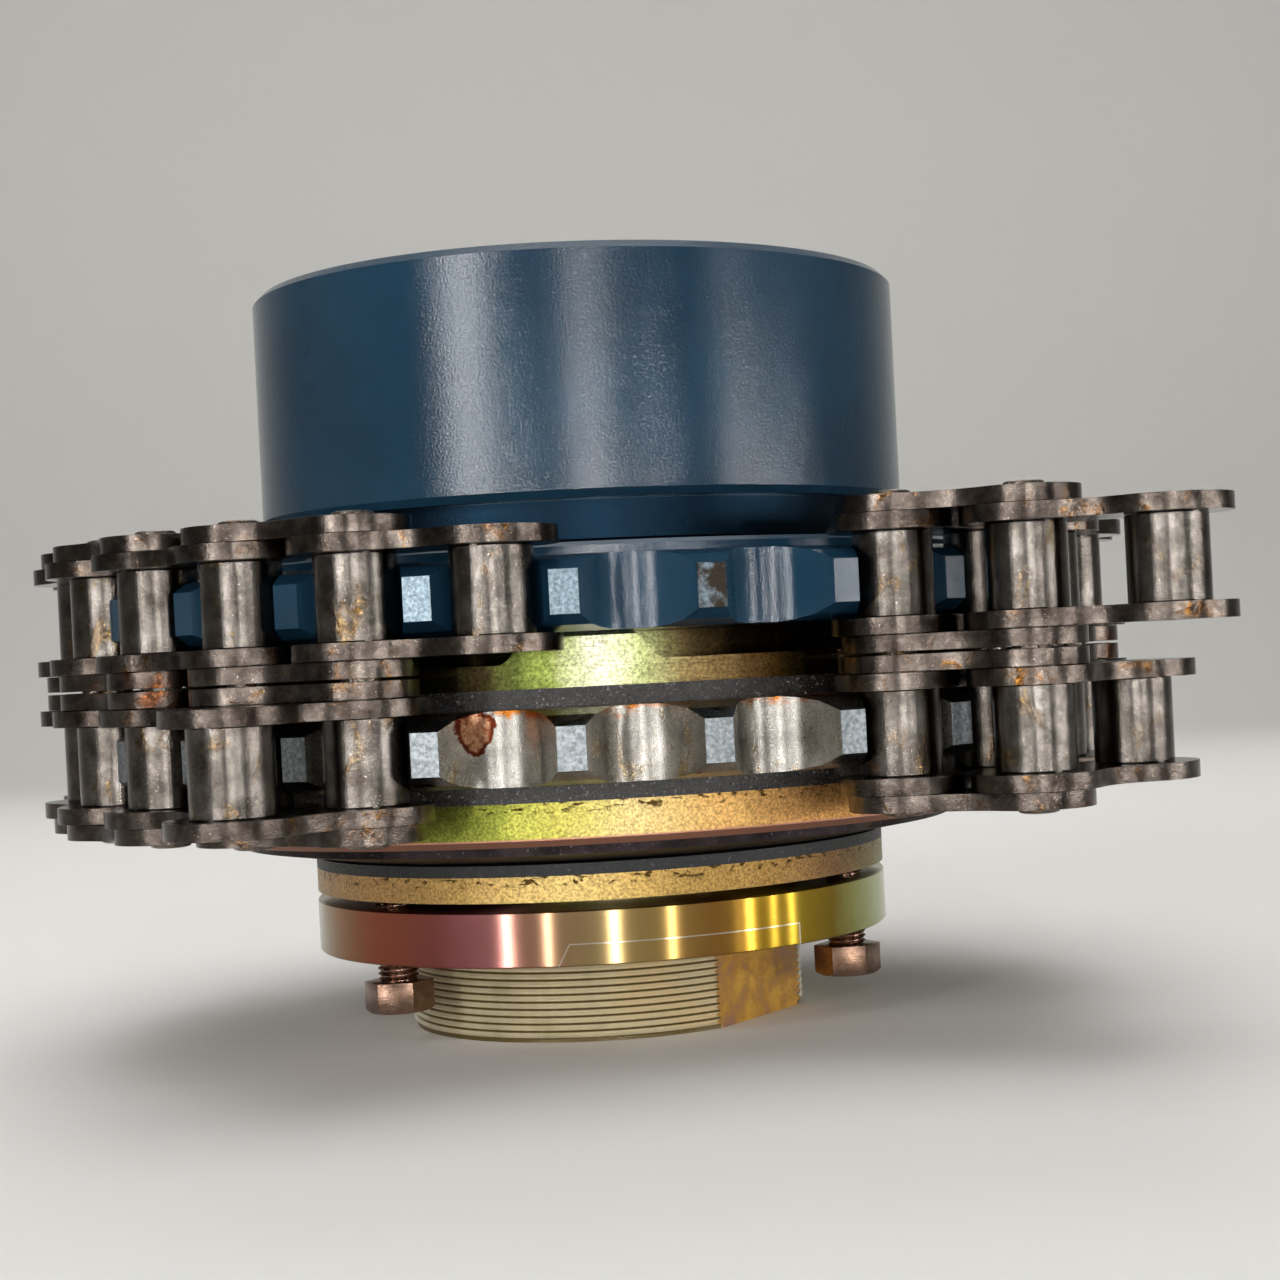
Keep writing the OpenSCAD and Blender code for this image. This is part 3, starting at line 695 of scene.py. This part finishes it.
def extrude(move: Tuple[float, float, float], scale: float = 1.0) -> None:
    """Extrudes what is selected by a move in metres, then scales it in plan."""
    bpy.ops.mesh.extrude_region_move(TRANSFORM_OT_translate={"value": move})
    if scale != 1.0:
        bpy.ops.transform.resize(value=(scale, scale, 1.0))


def reshape(piece: Piece, kind: str, **settings: Any) -> None:
    """Gives an object one modifier with its settings and applies it."""
    focus(piece)
    modifier = piece.modifiers.new(kind.lower(), kind)
    for name, value in settings.items():
        setattr(modifier, name, value)
    bpy.ops.object.modifier_apply(modifier=modifier.name)


def ease(piece: Piece, radius_mm: float, angle_deg: float) -> None:
    """Rounds the edges that are sharper than an angle, as tumbling or a file leaves them."""
    reshape(piece, "BEVEL", width=radius_mm * MM, segments=2, limit_method="ANGLE",
            angle_limit=math.radians(angle_deg))


def finished(piece: Piece, name: str, smooth_deg: float = 35.0) -> Piece:
    """Names a new piece, applies its place and shades it smooth up to an angle.

    Args:
        piece: The modelled object.
        name: Its plain name.
        smooth_deg: Edges sharper than this stay sharp.

    Returns:
        The same object.
    """
    focus(piece)
    bpy.ops.object.transform_apply(location=True, rotation=True, scale=True)
    bpy.ops.object.shade_smooth_by_angle(angle=math.radians(smooth_deg))
    piece.name = name
    piece.data.name = name
    return piece


def dress(piece: Piece, material: bpy.types.Material) -> None:
    """Gives every slot of an object the same material."""
    if not piece.material_slots:
        piece.data.materials.append(material)
    for place in piece.material_slots:
        place.material = material


def copied(master: Piece, place: Matrix) -> Piece:
    """Copies an object with its own mesh and puts the copy in place."""
    twin = linked(master.name, master.data.copy())
    twin.data.transform(place)
    return twin


def hand_in(parts: List[Piece], name: str, body: str, skin: bpy.types.Material, node: str,
            smooth_deg: float = 35.0, flat_faces: bool = True) -> None:
    """Joins parts into one piece that rides a body and stands for a CAD node.

    Args:
        parts: The modelled parts.
        name: Name of the piece.
        body: The body that it rides.
        skin: Its material.
        node: The CAD node that it replaces.
        smooth_deg: Edges sharper than this stay sharp.
        flat_faces: Whether large flat faces lead the shading over rounded edges.
    """
    deselect()
    for part in parts:
        part.select_set(True)
    bpy.context.view_layer.objects.active = parts[0]
    if len(parts) > 1:
        bpy.ops.object.join()
    piece = finished(parts[0], name, smooth_deg)
    if flat_faces:
        reshape(piece, "WEIGHTED_NORMAL", keep_sharp=True)
    dress(piece, skin)
    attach(piece, body)
    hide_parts(node)
    LOG.info("%s: %d faces on %s", name, len(piece.data.polygons), body)


def heading(start: Pair, end: Pair) -> float:
    """Direction from one plan position to another, in degrees."""
    return math.degrees(math.atan2(end[1] - start[1], end[0] - start[0]))


@dataclass
class RollerChain:
    """The open duplex chain on its pitch circle, with sizes in millimetres and degrees."""

    pitch: float = 50.8
    teeth: int = 26
    tooth_turn: float = 4.6
    roller_r: float = 15.0
    bore_r: float = 10.35
    roller_len: float = 31.25
    roller_ease: float = 0.9
    seam_half: float = 0.7
    seam_w: float = 0.38
    pin_r: float = 7.15
    pin_half: float = 58.0
    plate_ease: float = 0.5
    mid_z: float = 152.475
    strand_half: float = 29.25
    right_swing: float = 129.5
    right_upper_bend: float = 3.0
    right_lower_bend: float = 58.0
    left_lower_swing: float = 130.5

    # Rise in millimetres and scale of each ring of a peened pin head, from the shank out.
    HEAD_STEPS = ((0.02, 1.095), (0.9, 1.0), (0.9, 0.94), (0.45, 0.82), (0.15, 0.72),
                  (-0.55, 0.84), (0.05, 0.7), (0.5, 0.86))
    # How far a seam narrows across and lengthens along its roller.
    SEAM_SCALE = (0.962, 1.0, 1.045)
    # Direction that the seam of a loose roller faces, in degrees.
    SEAM_TURNS = {"root": -70.0, "tip": -112.0}
    RIGHT_TIP_SEAM = 50.0
    # Seams and peened heads turn by no rule, so they go by a count and a step in degrees.
    SEAM_STEP = 67
    SEAM_SPREAD = 120
    PIN_TURN = 13.0
    # Plate faces that lean less than this are one face, in degrees.
    FLAT = 0.6

    def __post_init__(self) -> None:
        """Works out where the loose pins lie and makes the finishes."""
        self.last = self.teeth - 4
        self.left_pin = self.wrapped(0)
        self.left_root = self.wrapped(1)
        self.right_root = self.wrapped(self.last)
        right = heading(self.right_root, self.seat(1)) + self.right_swing
        self.right_pin = self.step(self.right_root, right)
        left = heading(self.left_pin, self.seat(-1))
        self.ends: Dict[Tuple[Side, Strand], Tuple[Pair, float]] = {
            (Side.LEFT, Strand.UPPER): (self.left_pin, left),
            (Side.LEFT, Strand.LOWER): (self.left_pin, left - self.left_lower_swing),
            (Side.RIGHT, Strand.UPPER): (self.right_pin, right + self.right_upper_bend),
            (Side.RIGHT, Strand.LOWER): (self.right_pin, right + self.right_lower_bend),
        }
        self.plate, self.middle, self.pin_skin, self.roller_skin, self.bush_skin = (
            finish.material() for finish in (CHAIN_STEEL, MIDDLE_STEEL, PIN_STEEL, ROLLER_STEEL,
                                             BUSH_STEEL))

    @property
    def pitch_r(self) -> float:
        """Radius of the circle through the pins of the wrapped chain."""
        return self.pitch / (2 * math.sin(math.pi / self.teeth))

    def seat(self, k: int) -> Pair:
        """Plan position of tooth gap k, counted from the front."""
        a = math.radians(self.tooth_turn + k * 360 / self.teeth)
        return (self.pitch_r * math.sin(a), -self.pitch_r * math.cos(a))

    def wrapped(self, j: int) -> Pair:
        """Plan position of wrapped pin j, counted from the open left end."""
        return self.seat(-2 - j)

    def step(self, start: Pair, heading: float) -> Pair:
        """The next pin along a heading in degrees."""
        a = math.radians(heading)
        return (start[0] + self.pitch * math.cos(a), start[1] + self.pitch * math.sin(a))

    def level(self, strand: Strand) -> float:
        """Height of the middle of one strand."""
        sign = 1 if strand is Strand.UPPER else -1
        return self.mid_z + sign * self.strand_half

    def model_roller(self) -> Piece:
        """Models one curled roller: a tube with eased rims and the seam where it closes."""
        tube = cylinder(72, self.roller_r, self.roller_len)
        pick(tube, "FACE", lambda face: abs(face.normal.z) > 0.9)
        bpy.ops.mesh.inset(thickness=(self.roller_r - self.bore_r) * MM, use_individual=True)
        bpy.ops.mesh.bridge_edge_loops()

        def on_seam(face: bmesh.types.BMFace) -> bool:
            """Tells whether a face lies on the outside where the roller closes."""
            centre = face.calc_center_median()
            outer = centre.xy.length > (self.roller_r - 0.2) * MM and abs(face.normal.z) < 0.1
            return outer and abs(centre.y) < self.seam_half * MM and centre.x > 0

        pick(tube, "FACE", on_seam)
        bpy.ops.mesh.inset(thickness=self.seam_w * MM, use_boundary=True)
        bpy.ops.transform.resize(value=self.SEAM_SCALE)
        rim = max(v.co.xy.length for v in bmesh.from_edit_mesh(tube.data).verts) - 0.3 * MM
        end = self.roller_len / 2 * MM
        pick(tube, "EDGE", lambda edge: all(
            abs(abs(v.co.z) - end) < 0.1 * MM and v.co.xy.length > rim for v in edge.verts))
        bpy.ops.mesh.bevel(offset=self.roller_ease * MM, segments=3, affect="EDGES",
                           clamp_overlap=True)
        return finished(tube, "roller_master")

    def model_pin(self) -> Piece:
        """Models one pin: a plain shank and two peened heads with a hammered ring."""
        rod = cylinder(40, self.pin_r, 2 * self.pin_half)
        for sign in (1, -1):
            pick(rod, "FACE", lambda face: face.normal.z * sign > 0.9)
            for rise, scale in self.HEAD_STEPS:
                extrude((0, 0, sign * rise * MM), scale)
        return finished(rod, "pin_master")

    def place(self, at: Pair, z: float, turn: float) -> Matrix:
        """Matrix that stands a piece on a pin position, turned about Z in degrees."""
        spot = Matrix.Translation(Vector((at[0], at[1], z)) * MM)
        return spot @ Matrix.Rotation(math.radians(turn), 4, "Z")

    def seam_turn(self, at: Pair, count: int) -> float:
        """Direction a roller's seam faces: mostly outwards, each a little different."""
        stray = (count * self.SEAM_STEP) % self.SEAM_SPREAD
        return math.degrees(math.atan2(at[1], at[0])) + stray - self.SEAM_SPREAD // 2

    def build_rollers(self) -> None:
        """Makes the wrapped rollers of both strands and the eight loose ones."""
        master = self.model_roller()
        pins = [self.wrapped(j) for j in range(1, self.last + 1)]
        for strand in Strand:
            parts = [copied(master, self.place(p, self.level(strand), self.seam_turn(p, i)))
                     for i, p in enumerate(pins)]
            hand_in(parts, f"{strand.value}_wrapped_rollers", "driven", self.roller_skin,
                    f"{strand.value}_rollers")
        for (side, strand), (root, turn) in self.ends.items():
            for which, at in (("root", root), ("tip", self.step(root, turn))):
                node = f"{side.value}_{strand.value}_{which}_roller"
                seam = self.SEAM_TURNS[which]
                if side is Side.RIGHT and which == "tip":
                    seam += self.RIGHT_TIP_SEAM
                part = copied(master, self.place(at, self.level(strand), seam))
                hand_in([part], f"{node}_curled", node, self.roller_skin, node)
        bpy.data.objects.remove(master)

    def build_pins(self) -> None:
        """Makes the wrapped pins and the two pins of each loose outer link."""
        master = self.model_pin()
        for node, body, pins in (
                ("chain_pins", "driven", [self.wrapped(j) for j in range(2, self.last)]),
                ("left_link_pins", "left_link", [self.left_pin, self.left_root]),
                ("right_link_pins", "right_link", [self.right_root, self.right_pin])):
            parts = [copied(master, self.place(p, self.mid_z, self.PIN_TURN * i))
                     for i, p in enumerate(pins)]
            hand_in(parts, f"{node}_peened", body, self.pin_skin, node)
        bpy.data.objects.remove(master)

    def build_plates(self) -> None:
        """Eases the stamped edges of every link plate, and blackens the bushes."""
        bodies = {"chain_outer_plates": "driven", "upper_inner_plates": "driven",
                  "lower_inner_plates": "driven", "chain_middle_plates": "driven",
                  "left_link_plates": "left_link", "right_link_plates": "right_link"}
        ends = [f"{side.value}_{strand.value}_end" for side, strand in self.ends]
        bodies.update({f"{end}_plates": end for end in ends})
        for owner in ends + ["chain"]:
            dress(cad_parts[f"{owner}_bushes"], self.bush_skin)
        for node, body in bodies.items():
            middle = node == "chain_middle_plates"
            piece = linked(f"{node}_stamped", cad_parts[node].data.copy())
            focus(piece)
            bpy.ops.object.mode_set(mode="EDIT")
            bpy.ops.mesh.select_all(action="SELECT")
            bpy.ops.mesh.remove_doubles(threshold=0.01 * MM)
            bpy.ops.mesh.dissolve_limited(angle_limit=math.radians(self.FLAT))
            ease(piece, self.plate_ease, 35.0)
            hand_in([piece], piece.name, body, self.middle if middle else self.plate, node)


@dataclass(frozen=True)
class AdjustingBolts:
    """The hexagon bolts that push the thrust plate, with sizes in millimetres and degrees."""

    shank_r: float = 8.5
    thread_pitch: float = 2.2
    thread_depth: float = 1.1
    thread_steep: float = 1.35
    thread_rows: int = 6
    thread_gap: float = 0.02
    point_len: float = 2.0
    point_depth: float = 1.4
    head_af: float = 24.6
    head_h: float = 12.6
    head_z: float = 15.4
    chamfer_in: float = 0.3
    chamfer_slope: float = 1.8
    head_ease: float = 0.35
    dish_rim: float = 1.6
    dish_depth: float = 0.35
    dish_scale: float = 0.93
    thread_top: float = 61.6
    circle_r: float = 110.5
    first_turn: float = -51.0
    head_turn: float = 48.0
    count: int = 3

    def model_thread(self) -> Piece:
        """Models the shank, with a thread that winds up it in a true helix."""
        low = self.head_z + self.head_h - 0.5
        rows = int(round((self.thread_top - low) / self.thread_pitch * self.thread_rows))
        rod = cylinder(36, self.shank_r, self.thread_top - low, (low + self.thread_top) / 2,
                       "TRIFAN")
        bpy.ops.object.transform_apply(location=True)
        half = 0.5 * (self.thread_top - low) * MM
        pick(rod, "EDGE", lambda edge: abs(edge.verts[0].co.z - edge.verts[1].co.z) > half)
        bpy.ops.mesh.subdivide(number_cuts=rows - 1)
        crest = self.shank_r - self.thread_gap
        mesh = bmesh.from_edit_mesh(rod.data)
        for vert in mesh.verts:
            radius = vert.co.xy.length
            if radius < self.shank_r * MM * 0.9:
                continue
            z = vert.co.z / MM
            turn = math.atan2(vert.co.y, vert.co.x) / (2 * math.pi)
            phase = (z / self.thread_pitch - turn) % 1.0
            sink = min(1.0, abs(2 * phase - 1) * self.thread_steep) * self.thread_depth
            fade = min(1.0, (self.thread_top - z) / self.point_len)
            wanted = crest - sink - (1 - fade) * self.point_depth
            vert.co.xy *= min(wanted, crest) * MM / radius
        bmesh.update_edit_mesh(rod.data)
        return finished(rod, "bolt_thread", 25.0)

    def model_head(self) -> Piece:
        """Models the forged hexagon head: chamfered corners and a shallow dished face."""
        head = cylinder(6, self.head_af / 2 / math.cos(math.radians(30)), self.head_h,
                        self.head_z + self.head_h / 2)
        # The primitive's first corner is on Y, the CAD one's on X.
        bpy.ops.transform.rotate(value=math.radians(-self.head_turn - 30), orient_axis="Z",
                                 center_override=(0, 0, 0))
        bpy.ops.object.transform_apply(location=True, rotation=True)
        tall = self.head_h + 1
        inner = self.head_af / 2 - self.chamfer_in
        bpy.ops.mesh.primitive_cone_add(
            vertices=96, radius1=inner * MM, radius2=(inner + self.chamfer_slope * tall) * MM,
            depth=tall * MM, location=(0, 0, (self.head_z + tall / 2) * MM),
            end_fill_type="NGON")
        cone = bpy.context.object
        reshape(head, "BOOLEAN", operation="INTERSECT", object=cone, solver="EXACT")
        bpy.data.objects.remove(cone)
        pick(head, "FACE", lambda face: face.normal.z < -0.9)
        bpy.ops.mesh.inset(thickness=self.dish_rim * MM)
        extrude((0, 0, self.dish_depth * MM), self.dish_scale)
        ease(head, self.head_ease, 40.0)
        return finished(head, "bolt_head", 30.0)

    def build(self) -> None:
        """Makes the three bolts in the places of their CAD nodes."""
        skin = BOLT_ZINC.material()
        parts = [self.model_thread(), self.model_head()]
        for i in range(self.count):
            turn = math.radians(self.first_turn + i * 360 / self.count)
            place = Matrix.Rotation(turn, 4, "Z") @ Matrix.Translation(
                (0, -self.circle_r * MM, 0))
            node = f"adjusting_bolt_{i + 1}"
            hand_in([copied(part, place) for part in parts], f"{node}_threaded",
                    f"bolt_{i + 1}", skin, node, 28.0, flat_faces=False)
        for part in parts:
            bpy.data.objects.remove(part)


class LimiterStack:
    """Hub, facings, plates, spring and both sprockets, which keep their CAD shapes."""

    FINISHES = {
        "limiter_hub": HUB_ZINC, "upper_facing": LINING, "lower_facing": LINING,
        "pressure_plate": PRESSURE_ZINC, "thrust_plate": THRUST_ZINC,
        "disc_spring": SPRING_STEEL, "backing_ring": NEAR_BLACK_RING_FINISH, "pilot_plate": PILOT_ZINC,
        "centre_sprocket": TOOTH_STEEL, "centre_bush": SINTERED_BRONZE,
        "coupling_sprocket": ENAMEL,
    }

    def build(self) -> None:
        """Dresses the CAD nodes, with one material for each finish."""
        skins: Dict[str, bpy.types.Material] = {}
        for node, finish in self.FINISHES.items():
            skin = skins.get(finish.name) or finish.material()
            skins[finish.name] = skin
            dress(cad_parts[node], skin)
            LOG.info("%s: %s", node, skin.name)


@dataclass(frozen=True)
class Lamp:
    """A rectangular lamp, placed by direction in degrees and distance, with its size in metres."""

    name: str
    azimuth: float
    width: float
    power: float
    elevation: float = 0.0
    height: float = 0.39
    distance: float = 3.0


LAMPS = (
    # The tall strips make the streaks on the hub and the rollers.
    Lamp("left_strip", -38.0, 0.18, 42.0, 12.0, 1.95),
    Lamp("middle_strip", 3.5, 0.105, 12.0, 14.0, 1.8),
    Lamp("right_tall_strip", 52.0, 0.045, 3.0, 14.0, 1.65),
    # The low strips are seen in the rollers, the teeth and the rims, but not in the hub.
    Lamp("right_strip", 57.0, 0.075, 10.0),
    Lamp("left_low_strip", -22.0, 0.045, 9.0),
    Lamp("middle_low_strip", 3.0, 0.045, 12.5),
    Lamp("right_low_strip", 25.0, 0.045, 9.0),
    Lamp("side_low_strip", 68.0, 0.0225, 4.6),
    Lamp("edge_low_strip", 77.0, 0.03, 5.6),
    # The large boxes light the top and the far side evenly.
    Lamp("top_box", 0.0, 2.2, 24.0, 80.0, 2.2, 2.4),
    Lamp("back_box", 180.0, 2.0, 20.0, 45.0, 1.2, 2.6),
)


@dataclass(frozen=True)
class CameraSizes:
    """The camera that the photograph was fitted to, in metres, radians and millimetres."""

    back: float = 1.00698
    height: float = 0.155369
    yaw: float = 0.07742
    pitch: float = 0.00618
    roll: float = -0.04945
    sensor: float = 36.0
    lens: float = 2255.227 / 1280 * 36
    shift_x: float = -0.1
    shift_y: float = 0.02
    sees_to: float = 50.0


@dataclass(frozen=True)
class SweepSizes:
    """Pale background paper in metres: a level floor that bends up into a wall."""

    width: float = 16.0
    length: float = 13.0
    middle_y: float = -4.0
    bend_r: float = 1.2
    bend_steps: int = 10
    wall: float = 3.0
    colour: str = "#ebeae7"
    rough: float = 0.9


def aimed(turn: float, down: float, roll: float = 0.0) -> Matrix:
    """Aims a lamp or camera along +Y, turned about Z, tipped down and rolled, in radians."""
    return (Matrix.Rotation(turn, 4, "Z") @ Matrix.Rotation(math.pi / 2 - down, 4, "X")
            @ Matrix.Rotation(roll, 4, "Z"))


class Studio:
    """Pale floor and backdrop, soft lamps and the camera."""

    AIM = (0, 0, 0.16)
    ROOM_COLOUR = "#dfe3e8"
    ROOM_STRENGTH = 0.25

    def build_floor(self) -> None:
        """Makes one pale sweep: a floor that curves up into a backdrop behind the part."""
        size = SweepSizes()
        deselect()
        bpy.ops.mesh.primitive_plane_add(size=1.0, location=(0, size.middle_y, 0))
        sweep = bpy.context.object
        bpy.ops.transform.resize(value=(size.width, size.length, 1.0))
        bpy.ops.object.transform_apply(location=True, scale=True)
        pick(sweep, "EDGE", lambda edge: all(v.co.y > 0 for v in edge.verts))
        step = 90 / size.bend_steps
        for i in range(size.bend_steps):
            a, b = math.radians(step * i), math.radians(step * (i + 1))
            extrude((0, size.bend_r * (math.sin(b) - math.sin(a)),
                     size.bend_r * (math.cos(a) - math.cos(b))))
        extrude((0, 0, size.wall))
        finished(sweep, "paper_sweep", 60.0)
        paper = bpy.data.materials.new("matt_background_paper")
        paper.use_nodes = True
        shader = paper.node_tree.nodes["Principled BSDF"]
        shader.inputs["Base Color"].default_value = linear(size.colour)
        shader.inputs["Roughness"].default_value = size.rough
        dress(sweep, paper)

    def build_lamps(self) -> None:
        """Hangs the lamps and sets the room's light."""
        for lamp in LAMPS:
            data = bpy.data.lights.new(lamp.name, "AREA")
            data.shape = "RECTANGLE"
            data.size, data.size_y, data.energy = lamp.width, lamp.height, lamp.power
            light = linked(lamp.name, data)
            turn = aimed(math.radians(lamp.azimuth), math.radians(lamp.elevation))
            light.matrix_world = Matrix.Translation(self.AIM) @ turn @ Matrix.Translation(
                (0, 0, lamp.distance))
        world = bpy.data.worlds.new("studio_room")
        bpy.context.scene.world = world
        world.use_nodes = True
        sky = world.node_tree.nodes["Background"]
        sky.inputs["Color"].default_value = linear(self.ROOM_COLOUR)
        sky.inputs["Strength"].default_value = self.ROOM_STRENGTH

    def build_camera(self) -> None:
        """Sets the camera where the photograph was taken from."""
        size = CameraSizes()
        data = bpy.data.cameras.new("photo_camera")
        data.sensor_fit = "HORIZONTAL"
        data.sensor_width, data.lens, data.clip_end = size.sensor, size.lens, size.sees_to
        data.shift_x, data.shift_y = size.shift_x, size.shift_y
        eye = linked("photo_camera", data)
        eye.matrix_world = Matrix.Translation((0, -size.back, size.height)) @ aimed(
            -size.yaw, size.pitch, size.roll)
        bpy.context.scene.camera = eye

    def build(self) -> None:
        """Builds the studio."""
        self.build_floor()
        self.build_lamps()
        self.build_camera()
        bpy.context.scene.view_settings.view_transform = "Standard"


def main() -> None:
    """Builds the part's pieces, then the studio."""
    logging.basicConfig(level=logging.INFO, format="%(name)s %(message)s")
    Studio().build()
    LimiterStack().build()
    AdjustingBolts().build()
    chain = RollerChain()
    chain.build_plates()
    chain.build_pins()
    chain.build_rollers()


if __name__ == "__main__":
    main()
